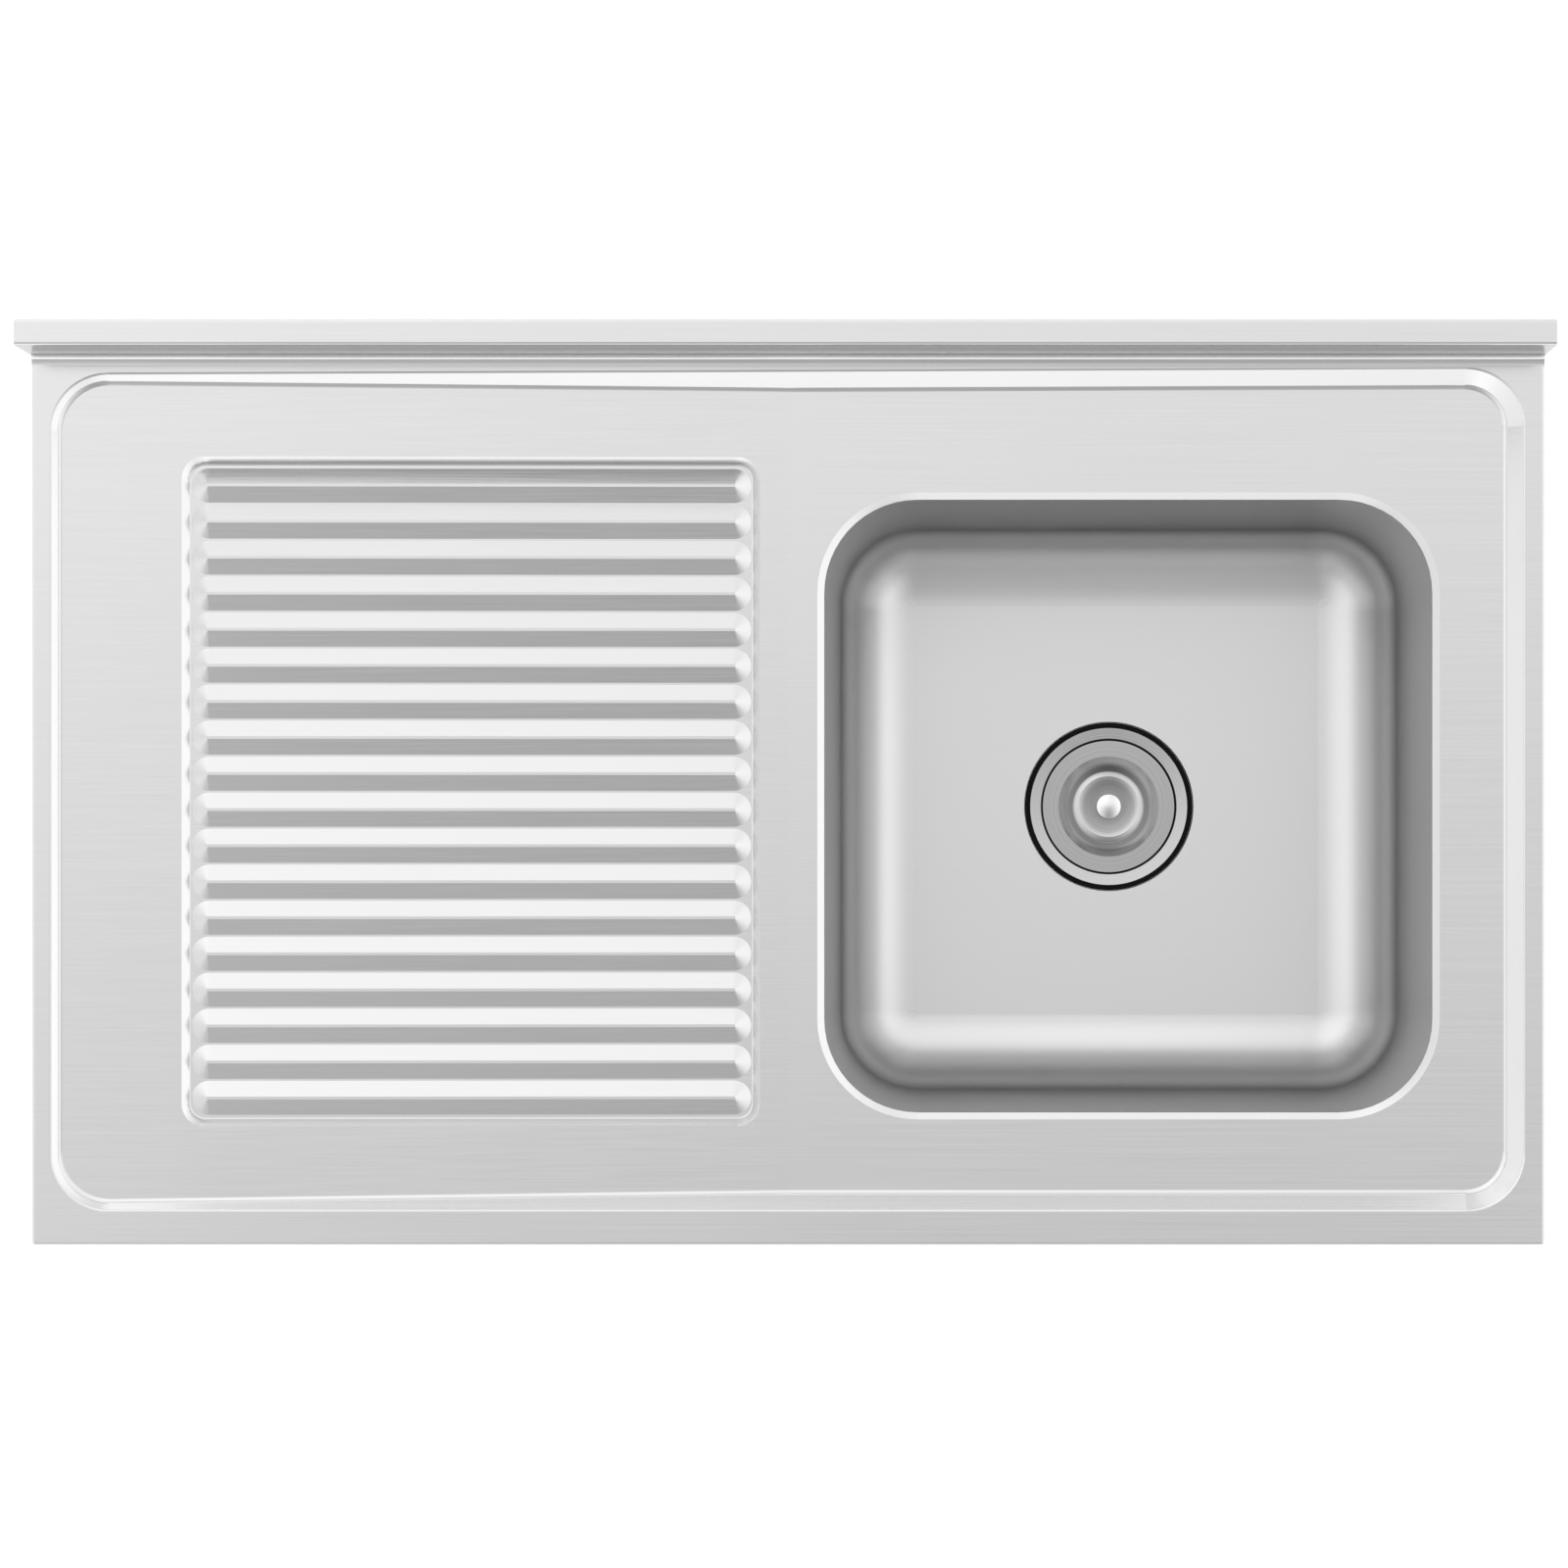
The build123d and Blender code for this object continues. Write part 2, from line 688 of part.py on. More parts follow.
head_z = middle_z - seat_gap
with BuildPart() as lid_screw:
    with BuildSketch(drain_plane):
        with BuildLine():
            Polyline(
                (0, head_z - screw_head_height),
                (screw_head_diameter / 2, head_z - screw_head_height),
                (screw_head_diameter / 2, head_z),
                (screw_diameter / 2, head_z),
                (screw_diameter / 2, knob_base_z + knob_socket_depth - turn_gap),
                (0, knob_base_z + knob_socket_depth - turn_gap),
                close=True,
            )
        make_face()
    revolve(axis=drain_axis)
lid_screw.part.label = "lid_screw"
export_step(lid_screw.part, "parts/lid_screw.step")


# Folded hat channels welded under the top: the flanges follow the fall of the drainer
def hat_channel(center_x, recess, web_z, length):
    inner = channel_web / 2
    outer = inner + channel_flange
    lower = recess + channel_sheet / 2
    with BuildPart() as channel:
        with BuildSketch(Plane.XZ):
            with BuildLine():
                Polyline(
                    (center_x - outer, under_deck(center_x - outer) - lower),
                    (center_x - inner, under_deck(center_x - inner) - lower),
                    (center_x - inner, web_z + channel_sheet / 2),
                    (center_x + inner, web_z + channel_sheet / 2),
                    (center_x + inner, under_deck(center_x + inner) - lower),
                    (center_x + outer, under_deck(center_x + outer) - lower),
                )
            trace(line_width=channel_sheet)
        extrude(amount=length / 2, both=True)
    return channel.part


channel_left = hat_channel(-leg_x, 0, channel_z, channel_length)
channel_left.label = "channel_left"
export_step(channel_left, "parts/channel_left.step")
channel_right = hat_channel(leg_x, 0, channel_z, channel_length)
channel_right.label = "channel_right"
export_step(channel_right, "parts/channel_right.step")
drainer_web_z = under_deck(panel_x) - panel_recess - drainer_channel_height
channel_drainer = hat_channel(panel_x, panel_recess, drainer_web_z, drainer_channel_length)
channel_drainer.label = "channel_drainer"
export_step(channel_drainer, "parts/channel_drainer.step")

# Legs, their sockets and their adjustable feet, one set at each corner
set_screw_z = socket_top_z - socket_plate_thickness - socket_depth + set_screw_rise
for corner, (x, y) in leg_places.items():
    inward = -math.copysign(1, x)
    screw_plane = Plane((x, y, set_screw_z), x_dir=(0, 1, 0), z_dir=(inward, 0, 0))

    with BuildPart() as leg_socket:
        with BuildSketch(Plane.XY.offset(socket_top_z)):
            with Locations((x, y)):
                Rectangle(socket_diameter, socket_plate_breadth)
        extrude(amount=-socket_plate_thickness)
        with BuildSketch(Plane.XY.offset(socket_top_z - socket_plate_thickness)):
            with Locations((x, y)):
                Circle(socket_diameter / 2)
                Circle(leg_diameter / 2 + socket_clearance, mode=Mode.SUBTRACT)
        extrude(amount=-socket_depth)
        with BuildSketch(screw_plane):
            Circle(set_screw_diameter / 2 + running_gap)
        extrude(amount=socket_diameter, mode=Mode.SUBTRACT)
    leg_socket.part.label = "leg_socket_" + corner
    export_step(leg_socket.part, "parts/leg_socket_" + corner + ".step")

    with BuildPart() as leg:
        with BuildSketch(Plane.XY.offset(leg_base_z)):
            with Locations((x, y)):
                Circle(leg_diameter / 2)
                Circle(leg_diameter / 2 - leg_wall, mode=Mode.SUBTRACT)
        extrude(amount=leg_top_z - leg_base_z)
    leg.part.label = "leg_" + corner
    export_step(leg.part, "parts/leg_" + corner + ".step")

    with BuildPart() as leg_insert:
        with BuildSketch(Plane.XY.offset(insert_z)):
            with Locations((x, y)):
                Circle(leg_diameter / 2)
        extrude(amount=insert_flange)
        with BuildSketch(Plane.XY.offset(insert_z)):
            with Locations((x, y)):
                Circle(leg_diameter / 2 - leg_wall - socket_clearance)
        extrude(amount=insert_length)
        with BuildSketch(Plane.XY.offset(insert_z)):
            with Locations((x, y)):
                Circle(stem_diameter / 2 + running_gap)
        extrude(amount=insert_length, mode=Mode.SUBTRACT)
    leg_insert.part.label = "leg_insert_" + corner
    export_step(leg_insert.part, "parts/leg_insert_" + corner + ".step")

    with BuildPart() as foot_stem:
        with BuildSketch(Plane.XY.offset(stem_base_z)):
            with Locations((x, y)):
                Circle(stem_diameter / 2)
        extrude(amount=stem_length)
        with BuildSketch(Plane.XY.offset(hex_z)):
            with Locations((x, y)):
                RegularPolygon(stem_hex / 2, hex_sides, major_radius=False)
        extrude(amount=stem_hex_height)
        chamfer(foot_stem.faces().sort_by(Axis.Z)[-1].edges(), stem_chamfer)
    foot_stem.part.label = "foot_stem_" + corner
    export_step(foot_stem.part, "parts/foot_stem_" + corner + ".step")

    pad_plane = Plane((x, y, 0), x_dir=(1, 0, 0), z_dir=(0, -1, 0))
    pad_bore = stem_diameter / 2 + turn_gap
    with BuildPart() as foot_pad:
        with BuildSketch(pad_plane):
            with BuildLine():
                Polyline(
                    (0, 0),
                    (foot_pad_diameter / 2, 0),
                    (foot_pad_diameter / 2, foot_pad_rim),
                    (foot_pad_top_diameter / 2, foot_pad_height),
                    (pad_bore, foot_pad_height),
                    (pad_bore, foot_pad_height - foot_socket_depth),
                    (0, foot_pad_height - foot_socket_depth),
                    close=True,
                )
            make_face()
        revolve(axis=Axis((x, y, 0), (0, 0, 1)))
    foot_pad.part.label = "foot_pad_" + corner
    export_step(foot_pad.part, "parts/foot_pad_" + corner + ".step")

# Set screws that hold the legs in their sockets, one in each
with BuildPart() as socket_screws:
    screw_start = leg_diameter / 2 + running_gap
    screw_planes = []
    for x, y in leg_places.values():
        inward = -math.copysign(1, x)
        screw_tip = (x + inward * screw_start, y, set_screw_z)
        screw_planes.append(Plane(screw_tip, x_dir=(0, 1, 0), z_dir=(inward, 0, 0)))
    with BuildSketch(*screw_planes):
        Circle(set_screw_diameter / 2)
    extrude(amount=set_screw_length)
    with BuildSketch(*[plane.offset(set_screw_length) for plane in screw_planes]):
        RegularPolygon(set_screw_key / 2, hex_sides, major_radius=False)
    extrude(amount=-set_screw_key_depth, mode=Mode.SUBTRACT)
socket_screws.part.label = "socket_screws"
export_step(socket_screws.part, "parts/socket_screws.step")


# Lower rails between the legs, coped to the tubes that they are welded to
def leg_rail(plane, length, leg_centers):
    with BuildPart() as rail:
        with BuildSketch(plane):
            Circle(rail_diameter / 2)
            Circle(rail_diameter / 2 - rail_wall, mode=Mode.SUBTRACT)
        extrude(amount=length / 2, both=True)
        with BuildSketch(Plane.XY):
            with Locations(*leg_centers):
                Circle(leg_diameter / 2 + weld_gap)
        extrude(amount=work_height, mode=Mode.SUBTRACT)
    return rail.part


left_plane = Plane((-leg_x, 0, rail_height), x_dir=(1, 0, 0), z_dir=(0, 1, 0))
right_plane = Plane((leg_x, 0, rail_height), x_dir=(1, 0, 0), z_dir=(0, 1, 0))
rear_plane = Plane((0, leg_y, rail_height), x_dir=(0, 1, 0), z_dir=(1, 0, 0))
side_rail_left = leg_rail(left_plane, 2 * leg_y, [leg_places["front_left"], leg_places["rear_left"]])
side_rail_left.label = "side_rail_left"
export_step(side_rail_left, "parts/side_rail_left.step")
side_rail_right = leg_rail(right_plane, 2 * leg_y, [leg_places["front_right"], leg_places["rear_right"]])
side_rail_right.label = "side_rail_right"
export_step(side_rail_right, "parts/side_rail_right.step")
rear_rail = leg_rail(rear_plane, 2 * leg_x, [leg_places["rear_left"], leg_places["rear_right"]])
rear_rail.label = "rear_rail"
export_step(rear_rail, "parts/rear_rail.step")
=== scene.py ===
import math

import bpy
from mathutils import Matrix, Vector


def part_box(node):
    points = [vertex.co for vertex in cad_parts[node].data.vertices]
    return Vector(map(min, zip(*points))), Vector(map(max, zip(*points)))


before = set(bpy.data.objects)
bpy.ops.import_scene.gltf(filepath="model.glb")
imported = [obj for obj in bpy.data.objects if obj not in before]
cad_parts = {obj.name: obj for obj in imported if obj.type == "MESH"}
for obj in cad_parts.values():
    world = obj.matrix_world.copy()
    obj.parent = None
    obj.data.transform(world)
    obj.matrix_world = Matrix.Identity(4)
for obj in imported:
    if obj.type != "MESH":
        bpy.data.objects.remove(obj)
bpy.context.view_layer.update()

# The photograph's frame and the camera's place above the unit, in pixels, millimetres and metres
IMAGE_PIXELS = 1600
SENSOR_MM = 36.0
PIXELS_PER_METRE = 1543.5
TOP_CENTRE_PIXEL = (804.25, 803.6)
TOP_HEIGHT = 0.8
CAMERA_ABOVE_TOP = 3.0
CAMERA_X = 0.09
CAMERA_Y = -0.0625

# Sockets of a Mix node that mixes colours
MIX_SHARE, MIX_FIRST, MIX_SECOND, MIX_RESULT = 0, 6, 7, 2
# Nearly all the values of a noise lie in this range
NOISE_RANGE = (0.3, 0.7)
# The phase of a wave texture, in radians per unit at a scale of 1
WAVE_RATE = 20

strainer_low, strainer_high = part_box("strainer_body")
drain_centre = (Vector(strainer_low) + Vector(strainer_high)) / 2


def linear(hex_colour):
    """Scene-linear RGBA from an sRGB hex value."""
    parts = [int(hex_colour[i:i + 2], 16) / 255 for i in (1, 3, 5)]
    lit = [c / 12.92 if c <= 0.04045 else ((c + 0.055) / 1.055) ** 2.4 for c in parts]
    return (*lit, 1.0)


def grey(level):
    """Scene-linear RGBA of a grey level."""
    return (level, level, level, 1.0)


def add_node(tree, kind, settings=None, links=None):
    """A node with its settings: attributes by name, sockets by index or name, and its linked inputs."""
    node = tree.nodes.new(kind)
    for key, value in (settings or {}).items():
        if isinstance(key, int) or key in node.inputs:
            node.inputs[key].default_value = value
        else:
            setattr(node, key, value)
    for key, output in (links or {}).items():
        tree.links.new(output, node.inputs[key])
    return node


def map_range(tree, value, source, target=(0.0, 1.0), smooth=False):
    """The output of a node that maps a value from the source range to the target range."""
    settings = {"From Min": source[0], "From Max": source[1], "To Min": target[0], "To Max": target[1]}
    if smooth:
        settings = {"interpolation_type": "SMOOTHSTEP", **settings}
    return add_node(tree, "ShaderNodeMapRange", settings, {"Value": value}).outputs["Result"]


def two_tone(tree, colours, share):
    """The output of a node that goes from the first colour to the second as the share grows."""
    settings = {"data_type": "RGBA", MIX_FIRST: linear(colours[0]), MIX_SECOND: linear(colours[1])}
    return add_node(tree, "ShaderNodeMix", settings, {MIX_SHARE: share}).outputs[MIX_RESULT]


def set_stops(ramp, levels):
    """Grey stops of a colour ramp, as pairs of place and level."""
    for _ in range(len(levels) - 2):
        ramp.elements.new(0.5)
    for stop, (place, level) in zip(ramp.elements, levels):
        stop.position = place
        stop.color = grey(level)


def new_material(name):
    """A new material with its node tree and its shader."""
    material = bpy.data.materials.new(name)
    material.use_nodes = True
    tree = material.node_tree
    shader = tree.nodes["Principled BSDF"]
    return material, tree, shader


AXIS_X, AXIS_Y, AXIS_Z = 0, 1, 2
# A direction across each axis, a little askew so that no flat face has it as its normal
ACROSS = ((0.0, 1.0, 0.02), (0.0, 0.02, 1.0), (1.0, 0.02, 0.0))
STREAK_WIDTH = 0.001
STREAK_LENGTH = 0.18
CLOUD_RANGE = (0.35, 0.65)
CLOUD_ROUGHNESS = 0.01


# Stainless sheet, brushed lengthwise with a fine belt: streaks a fraction of a millimetre wide that
# stretch every reflection across the grain. The streaks are drawn 1 mm wide so that they show.
def brushed_sheet(name, grain_axis, colours, roughness, anisotropy, unevenness, edge_level=0.6):
    material, tree, shader = new_material(name)
    scale = [1 / STREAK_WIDTH] * 3
    scale[grain_axis] = 1 / STREAK_LENGTH
    coords = add_node(tree, "ShaderNodeTexCoord")
    stretched = add_node(tree, "ShaderNodeVectorMath", {"operation": "MULTIPLY", 1: scale},
                         {0: coords.outputs["Object"]})
    streaks = add_node(tree, "ShaderNodeTexNoise", {"Scale": 1.0, "Detail": 3.0, "Roughness": 0.6},
                       {"Vector": stretched.outputs[0]})
    clouds = add_node(tree, "ShaderNodeTexNoise", {"Scale": 7.0, "Detail": 2.0},
                      {"Vector": coords.outputs["Object"]})
    rough = map_range(tree, streaks.outputs["Fac"], NOISE_RANGE,
                      (roughness - unevenness, roughness + unevenness))
    smear = map_range(tree, clouds.outputs["Fac"], CLOUD_RANGE, (-CLOUD_ROUGHNESS, CLOUD_ROUGHNESS))
    uneven = add_node(tree, "ShaderNodeMath", {"operation": "ADD"}, {0: rough, 1: smear})
    relief = add_node(tree, "ShaderNodeBump", {"Strength": 0.05, "Distance": 0.0002},
                      {"Height": streaks.outputs["Fac"]})
    surface = add_node(tree, "ShaderNodeNewGeometry")
    grain = add_node(tree, "ShaderNodeVectorMath", {"operation": "CROSS_PRODUCT", 1: ACROSS[grain_axis]},
                     {0: surface.outputs["Normal"]})
    shader.inputs["Metallic"].default_value = 1.0
    shader.inputs["Specular Tint"].default_value = grey(edge_level)
    shader.inputs["Anisotropic"].default_value = anisotropy
    tree.links.new(two_tone(tree, colours, streaks.outputs["Fac"]), shader.inputs["Base Color"])
    tree.links.new(uneven.outputs[0], shader.inputs["Roughness"])
    tree.links.new(relief.outputs["Normal"], shader.inputs["Normal"])
    tree.links.new(grain.outputs[0], shader.inputs["Tangent"])
    return material


RING_DULLER = 0.05
RING_SHINIER = 0.04
SHADE_RADIUS = 0.06


# Stainless turned on a lathe: fine rings round the drain's axis, which fan the light out in bright wedges.
# Shades are pairs of radius and level, which the colour is multiplied by: rings of painted shade.
def turned_steel(name, colours, roughness, anisotropy, ring_width=0.0007, shades=None):
    material, tree, shader = new_material(name)
    coords = add_node(tree, "ShaderNodeTexCoord")
    centred = add_node(tree, "ShaderNodeVectorMath",
                       {"operation": "SUBTRACT", 1: (drain_centre.x, drain_centre.y, 0.0)},
                       {0: coords.outputs["Object"]})
    flat = add_node(tree, "ShaderNodeVectorMath", {"operation": "MULTIPLY", 1: (1.0, 1.0, 0.0)},
                    {0: centred.outputs[0]})
    radius = add_node(tree, "ShaderNodeVectorMath", {"operation": "LENGTH"}, {0: flat.outputs[0]})
    rings = add_node(tree, "ShaderNodeTexNoise",
                     {"noise_dimensions": "1D", "Scale": 1 / ring_width, "Detail": 2.0},
                     {"W": radius.outputs["Value"]})
    rough = map_range(tree, rings.outputs["Fac"], NOISE_RANGE,
                      (roughness - RING_SHINIER, roughness + RING_DULLER))
    tint = two_tone(tree, colours, rings.outputs["Fac"])
    relief = add_node(tree, "ShaderNodeBump", {"Strength": 0.08, "Distance": 0.0002},
                      {"Height": rings.outputs["Fac"]})
    around = add_node(tree, "ShaderNodeVectorMath", {"operation": "CROSS_PRODUCT", 1: (0.0, 0.0, 1.0)},
                      {0: centred.outputs[0]})
    if shades:
        reach = add_node(tree, "ShaderNodeMath", {"operation": "DIVIDE", 1: SHADE_RADIUS},
                         {0: radius.outputs["Value"]})
        shading = add_node(tree, "ShaderNodeValToRGB", None, {0: reach.outputs[0]})
        set_stops(shading.color_ramp, [(place / SHADE_RADIUS, level) for place, level in shades])
        tint = add_node(tree, "ShaderNodeMix", {"data_type": "RGBA", "blend_type": "MULTIPLY", MIX_SHARE: 1.0},
                        {MIX_FIRST: tint, MIX_SECOND: shading.outputs["Color"]}).outputs[MIX_RESULT]
    shader.inputs["Metallic"].default_value = 1.0
    shader.inputs["Anisotropic"].default_value = anisotropy
    tree.links.new(tint, shader.inputs["Base Color"])
    tree.links.new(rough, shader.inputs["Roughness"])
    tree.links.new(relief.outputs["Normal"], shader.inputs["Normal"])
    tree.links.new(around.outputs[0], shader.inputs["Tangent"])
    return material


DUST_ROUGHNESS = 0.06


# Moulded rubber and plastic: matt, with the fine pebble of the mould and a little dust in the colour
def moulded(name, colours, roughness, pebble_size, gloss=0.5):
    material, tree, shader = new_material(name)
    coords = add_node(tree, "ShaderNodeTexCoord")
    pebble = add_node(tree, "ShaderNodeTexNoise", {"Scale": 1 / pebble_size, "Detail": 3.0},
                      {"Vector": coords.outputs["Object"]})
    dust = add_node(tree, "ShaderNodeTexNoise", {"Scale": 40.0, "Detail": 4.0},
                    {"Vector": coords.outputs["Object"]})
    rough = map_range(tree, dust.outputs["Fac"], NOISE_RANGE,
                      (roughness - DUST_ROUGHNESS, roughness + DUST_ROUGHNESS))
    relief = add_node(tree, "ShaderNodeBump", {"Strength": 0.25, "Distance": 0.0003},
                      {"Height": pebble.outputs["Fac"]})
    shader.inputs["IOR"].default_value = 1.5
    shader.inputs["Specular IOR Level"].default_value = gloss
    tree.links.new(two_tone(tree, colours, dust.outputs["Fac"]), shader.inputs["Base Color"])
    tree.links.new(rough, shader.inputs["Roughness"])
    tree.links.new(relief.outputs["Normal"], shader.inputs["Normal"])
    return material


THREAD_DEPTH = 0.3


# Cut thread on a steel rod: rings at the thread's pitch, as deep as a share of it, with painted highlight on
# the crests and painted shade in the roots
def threaded_steel(name, colours, roughness, pitch):
    material, tree, shader = new_material(name)
    coords = add_node(tree, "ShaderNodeTexCoord")
    rings = add_node(tree, "ShaderNodeTexWave",
                     {"wave_type": "BANDS", "bands_direction": "Z", "wave_profile": "TRI",
                      "Scale": 2 * math.pi / (WAVE_RATE * pitch), "Distortion": 0.0},
                     {"Vector": coords.outputs["Object"]})
    relief = add_node(tree, "ShaderNodeBump", {"Strength": 1.0, "Distance": pitch * THREAD_DEPTH},
                      {"Height": rings.outputs["Fac"]})
    shader.inputs["Metallic"].default_value = 1.0
    shader.inputs["Roughness"].default_value = roughness
    # The colour is painted lighter on the crests and darker in the roots
    tree.links.new(two_tone(tree, colours, rings.outputs["Fac"]), shader.inputs["Base Color"])
    tree.links.new(relief.outputs["Normal"], shader.inputs["Normal"])
    return material


top_sheet = brushed_sheet("brushed_stainless_sheet", AXIS_X, ("#d4d4d4", "#dfdfdf"),
                          roughness=0.2, anisotropy=0.5, unevenness=0.04, edge_level=0.8)
bowl_sheet = brushed_sheet("drawn_stainless_bowl", AXIS_X, ("#d7d7d7", "#dbdbdb"),
                           roughness=0.33, anisotropy=0.1, unevenness=0.015, edge_level=0.5)
folded_channel = brushed_sheet("mill_finish_channel", AXIS_Y, ("#c5c5c5", "#d1d1d1"),
                               roughness=0.32, anisotropy=0.3, unevenness=0.05)
socket_steel = brushed_sheet("satin_cast_socket", AXIS_Z, ("#b4b4b4", "#c0c0c0"),
                             roughness=0.3, anisotropy=0.2, unevenness=0.05)
tube_finish = {"colours": ("#c2c2c2", "#cdcdcd"), "roughness": 0.2, "anisotropy": 0.4, "unevenness": 0.03}
leg_tube = brushed_sheet("polished_stainless_tube", AXIS_Z, **tube_finish)
rail_tube_x = brushed_sheet("polished_stainless_rail_across", AXIS_X, **tube_finish)
rail_tube_y = brushed_sheet("polished_stainless_rail_deep", AXIS_Y, **tube_finish)

# Painted shade: the strainer's colour is black in the narrow gap round the lid, where shade falls
GAP_PAINTED_SHADE = ((0.0, 1.0), (0.0462, 1.0), (0.0465, 0.01), (0.0479, 0.01), (0.0483, 1.0), (0.06, 1.0))
# Painted shade and light in rings on the lid's dish: darkest in its groove 26 to 28 mm out, lightest on the
# ring just inside it, darker again in the middle
DISH_PAINTED_SHADE = ((0.0, 0.55), (0.0175, 0.65), (0.021, 1.0), (0.0235, 1.0), (0.0258, 0.3), (0.0285, 0.34),
               (0.032, 0.7), (0.0345, 0.85), (0.06, 0.85))
strainer_steel = turned_steel("turned_stainless_strainer", ("#adadad", "#d2d2d2"),
                              roughness=0.24, anisotropy=0.7, shades=GAP_PAINTED_SHADE)
lid_steel = turned_steel("turned_stainless_lid", ("#adadad", "#d2d2d2"),
                         roughness=0.15, anisotropy=0.5, shades=DISH_PAINTED_SHADE)
basket_steel = turned_steel("turned_stainless_basket", ("#a1a1a1", "#c5c5c5"), roughness=0.2, anisotropy=0.5)
knob_steel = turned_steel("polished_stainless_knob", ("#dbdbdb", "#e6e6e6"),
                          roughness=0.12, anisotropy=0.2, ring_width=0.0006)
screw_steel = turned_steel("blackened_steel_screw", ("#4a4a4b", "#5c5c5d"),
                           roughness=0.4, anisotropy=0.2, ring_width=0.0006)
stem_steel = threaded_steel("threaded_stainless_stem", ("#9b9b9b", "#dadada"), roughness=0.28, pitch=0.002)

black_rubber = moulded("moulded_black_rubber", ("#0c0c0c", "#151515"),
                       roughness=0.7, pebble_size=0.0006, gloss=0.1)
damping_felt = moulded("bitumen_damping_pad", ("#2a2a2a", "#3a3a39"), roughness=0.85, pebble_size=0.0015)
white_nut = moulded("moulded_white_nut", ("#dcdcd8", "#e6e6e2"), roughness=0.45, pebble_size=0.0008)
washer_fibre = moulded("pressed_fibre_washer", ("#b9b3a6", "#c7c1b4"), roughness=0.8, pebble_size=0.0012)
foot_plastic = moulded("moulded_black_foot", ("#1c1c1d", "#262627"), roughness=0.5, pebble_size=0.0008)

# Which finish each piece wears: the longest of these that its name starts with
finishes = {
    "worktop": top_sheet,
    "bowl": bowl_sheet,
    "sound_pad": damping_felt,
    "strainer_body": strainer_steel,
    "outlet_tube": strainer_steel,
    "flange_gasket": black_rubber,
    "under_gasket": black_rubber,
    "slip_washer": washer_fibre,
    "lock_nut": white_nut,
    "basket_stopper": black_rubber,
    "lid_knob": knob_steel,
    "basket_post": knob_steel,
    "basket": basket_steel,
    "lid": lid_steel,
    "lid_screw": knob_steel,
    "socket_screws": screw_steel,
    "rear_rail": rail_tube_x,
    "channel": folded_channel,
    "side_rail": rail_tube_y,
    "leg_socket": socket_steel,
    "leg_insert": foot_plastic,
    "foot_pad": foot_plastic,
    "foot_stem": stem_steel,
    "leg": leg_tube,
}
for node_name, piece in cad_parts.items():
    family = max((key for key in finishes if node_name.startswith(key)), key=len)
    piece.data.materials.clear()
    piece.data.materials.append(finishes[family])

# Pale studio floor: white where the camera, metal or glass looks at it, with the unit's soft shadow
FLOOR_SIZE = 40.0
FLOOR_GLOW = 0.25
bpy.ops.mesh.primitive_plane_add(size=FLOOR_SIZE)
floor = bpy.context.object
floor.name = "studio_floor"
paint, paint_tree, paint_shader = new_material("white_studio_floor")
paint_shader.inputs["Base Color"].default_value = linear("#f2f2f2")
paint_shader.inputs["Roughness"].default_value = 0.9
paint_shader.inputs["Emission Color"].default_value = grey(1.0)
looks = add_node(paint_tree, "ShaderNodeLightPath")
seen = add_node(paint_tree, "ShaderNodeMath", {"operation": "ADD"},
                {0: looks.outputs["Is Camera Ray"], 1: looks.outputs["Is Glossy Ray"]})
seen = add_node(paint_tree, "ShaderNodeMath", {"operation": "ADD"},
                {0: seen.outputs[0], 1: looks.outputs["Is Transmission Ray"]})
glow = add_node(paint_tree, "ShaderNodeMath", {"operation": "MULTIPLY", 1: FLOOR_GLOW}, {0: seen.outputs[0]})
paint_tree.links.new(glow.outputs[0], paint_shader.inputs["Emission Strength"])
floor.data.materials.append(paint)

# Studio: a white room, bright all round near the horizon and behind the unit, darker high up in front of it
# and a little brighter left of the middle than right of it. A darker band about 30 degrees up gives depth to
# views from the side. Places are parts of a direction of length 1: X to the right, Y to the rear, Z up.
# Each fade or range says where a change starts and ends, and its levels are the values there.
WHOLE_RANGE = (-1.0, 1.0)
FRONT_TO_REAR = ((0.0, 1.0), (0.05, 0.55), (0.14, 0.25), (0.325, 0.3), (0.45, 0.39), (0.575, 0.7),
                 (0.7, 0.78), (1.0, 0.76))
HORIZON_FADE = (0.5, 0.12)
HORIZON_LEVEL = 0.82
SIDE_FADE = (0.0, 0.8)
SIDE_LEVELS = (0.67, 1.0)
BAND_HEIGHT = 0.49
BAND_FADE = (0.03, 0.17)
BAND_LEVELS = (0.55, 1.0)
LEAN_RANGE = (-0.25, 0.25)
LEAN_LEVELS = (1.13, 0.91)
ROOM_STRENGTH = 1.63
world = bpy.data.worlds.new("white_studio")
bpy.context.scene.world = world
world.use_nodes = True
sky = world.node_tree
background = sky.nodes["Background"]
direction = add_node(sky, "ShaderNodeTexCoord")
parts = add_node(sky, "ShaderNodeSeparateXYZ", None, {0: direction.outputs["Generated"]})
depth = map_range(sky, parts.outputs["Y"], WHOLE_RANGE)
front_to_rear = add_node(sky, "ShaderNodeValToRGB", None, {0: depth})
front_to_rear.color_ramp.interpolation = "B_SPLINE"
set_stops(front_to_rear.color_ramp, FRONT_TO_REAR)
low = map_range(sky, parts.outputs["Z"], HORIZON_FADE, smooth=True)
horizon = add_node(sky, "ShaderNodeMix", {"data_type": "RGBA", MIX_SECOND: grey(HORIZON_LEVEL)},
                   {MIX_SHARE: low, MIX_FIRST: front_to_rear.outputs["Color"]})
aside = add_node(sky, "ShaderNodeMath", {"operation": "ABSOLUTE"}, {0: parts.outputs["X"]})
side = map_range(sky, aside.outputs[0], SIDE_FADE, smooth=True)
side_level = map_range(sky, parts.outputs["X"], WHOLE_RANGE, SIDE_LEVELS)
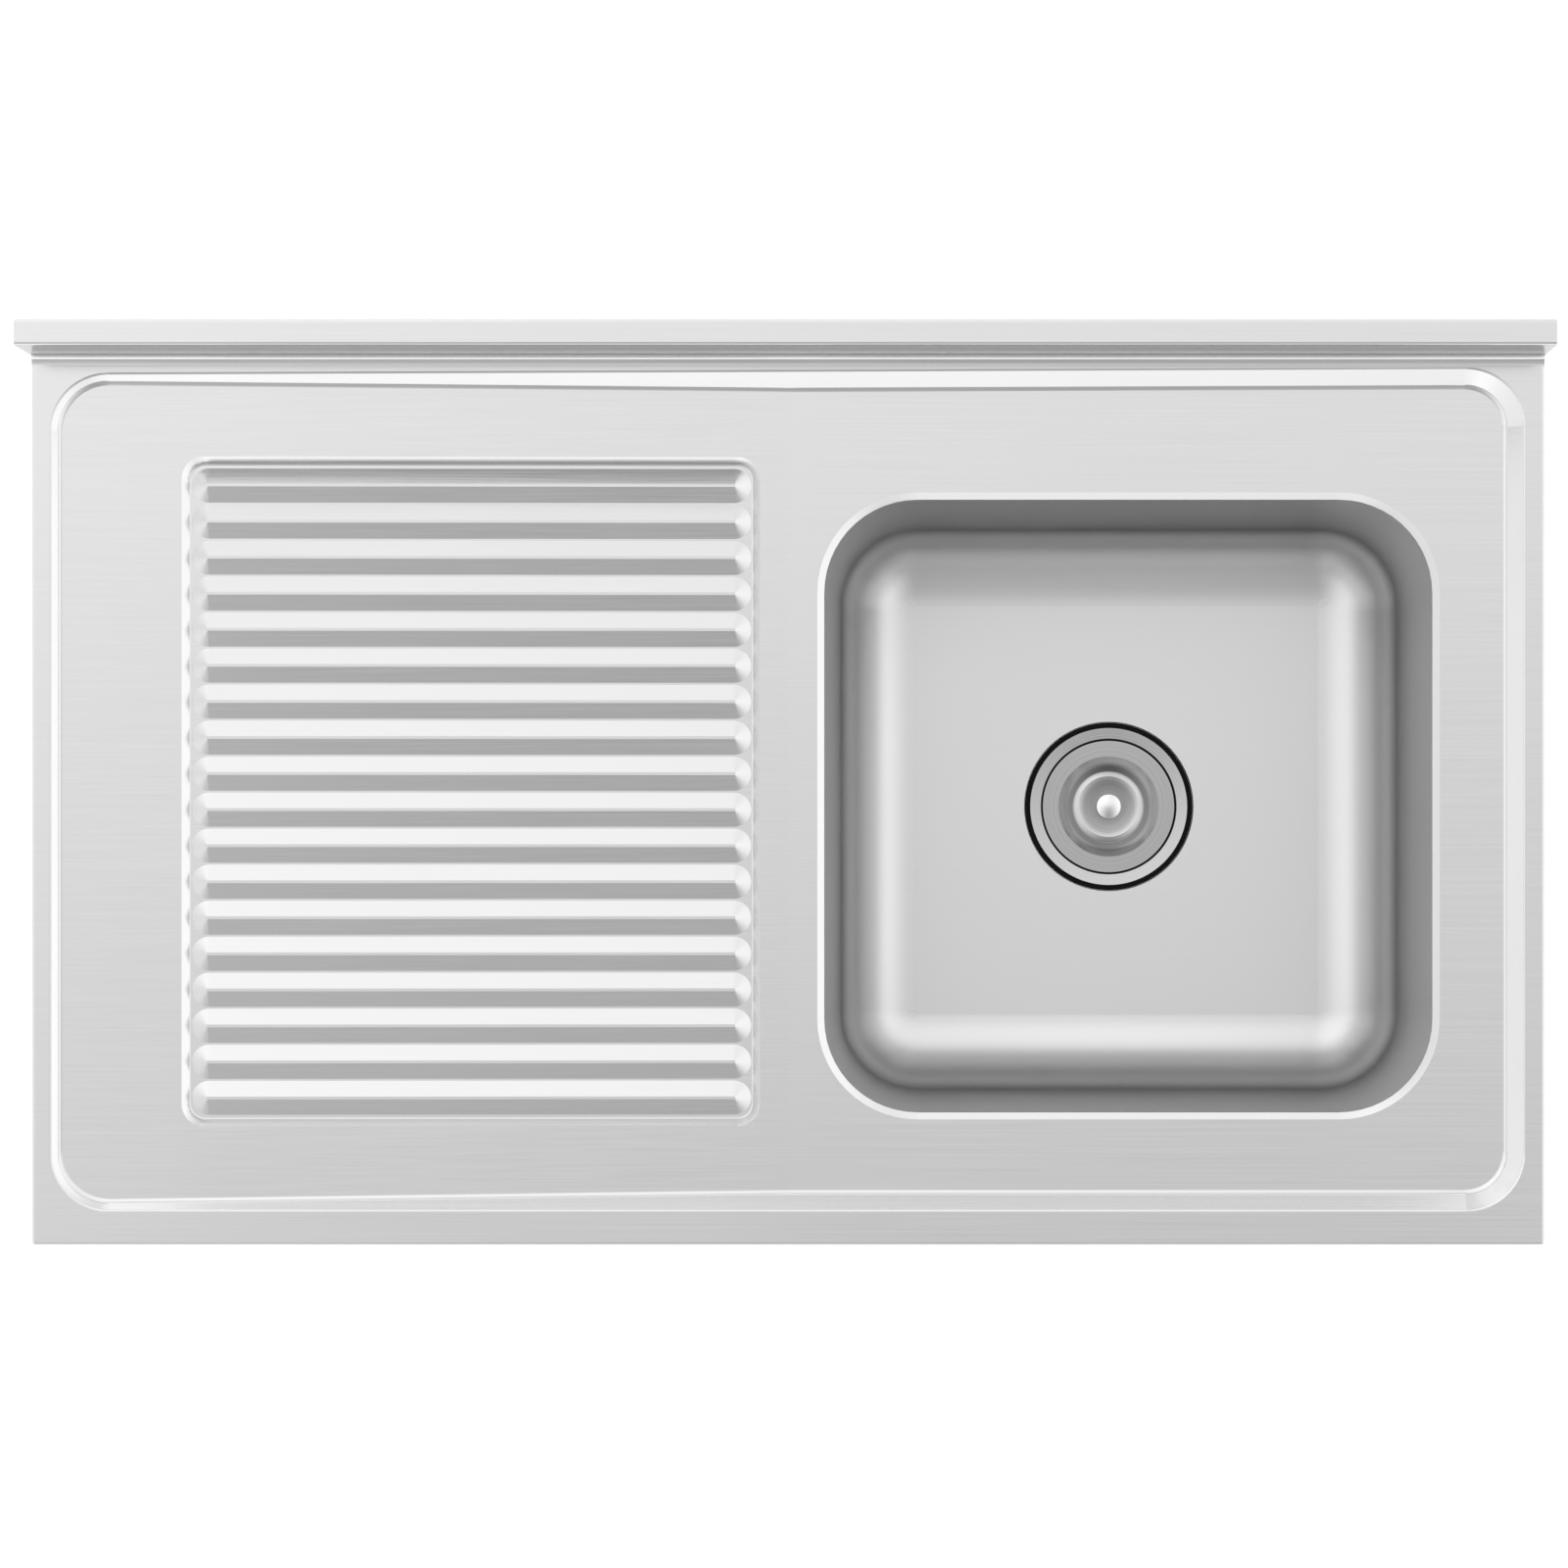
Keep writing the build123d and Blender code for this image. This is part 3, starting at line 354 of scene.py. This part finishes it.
room = add_node(sky, "ShaderNodeMix", {"data_type": "RGBA"},
                {MIX_SHARE: side, MIX_FIRST: horizon.outputs[MIX_RESULT], MIX_SECOND: side_level})
above = add_node(sky, "ShaderNodeMath", {"operation": "SUBTRACT", 1: BAND_HEIGHT}, {0: parts.outputs["Z"]})
off_band = add_node(sky, "ShaderNodeMath", {"operation": "ABSOLUTE"}, {0: above.outputs[0]})
band = map_range(sky, off_band.outputs[0], BAND_FADE, BAND_LEVELS, smooth=True)
lean = map_range(sky, parts.outputs["X"], LEAN_RANGE, LEAN_LEVELS)
leaning = add_node(sky, "ShaderNodeMath", {"operation": "MULTIPLY"}, {0: band, 1: lean})
level = add_node(sky, "ShaderNodeMath", {"operation": "MULTIPLY", 1: ROOM_STRENGTH}, {0: leaning.outputs[0]})
sky.links.new(room.outputs[MIX_RESULT], background.inputs["Color"])
sky.links.new(level.outputs[0], background.inputs["Strength"])

# Above the floor the camera itself sees plain white
sight = add_node(sky, "ShaderNodeLightPath")
backdrop = add_node(sky, "ShaderNodeBackground", {"Color": grey(1.0), "Strength": 1.0})
view = add_node(sky, "ShaderNodeMixShader", None,
                {0: sight.outputs["Is Camera Ray"], 1: background.outputs[0], 2: backdrop.outputs[0]})
sky.links.new(view.outputs[0], sky.nodes["World Output"].inputs["Surface"])

# Camera straight above, where the photograph was taken from, with the frame shifted to the unit
lens = bpy.data.cameras.new("overhead")
lens.sensor_width = SENSOR_MM
lens.lens = SENSOR_MM * PIXELS_PER_METRE * CAMERA_ABOVE_TOP / IMAGE_PIXELS
half_frame = IMAGE_PIXELS / 2
lens.shift_x = (half_frame - TOP_CENTRE_PIXEL[0] - CAMERA_X * PIXELS_PER_METRE) / IMAGE_PIXELS
lens.shift_y = (TOP_CENTRE_PIXEL[1] - CAMERA_Y * PIXELS_PER_METRE - half_frame) / IMAGE_PIXELS
camera = bpy.data.objects.new("overhead", lens)
camera.location = (CAMERA_X, CAMERA_Y, TOP_HEIGHT + CAMERA_ABOVE_TOP)
bpy.context.scene.collection.objects.link(camera)
bpy.context.scene.camera = camera
bpy.context.scene.view_settings.view_transform = "Standard"
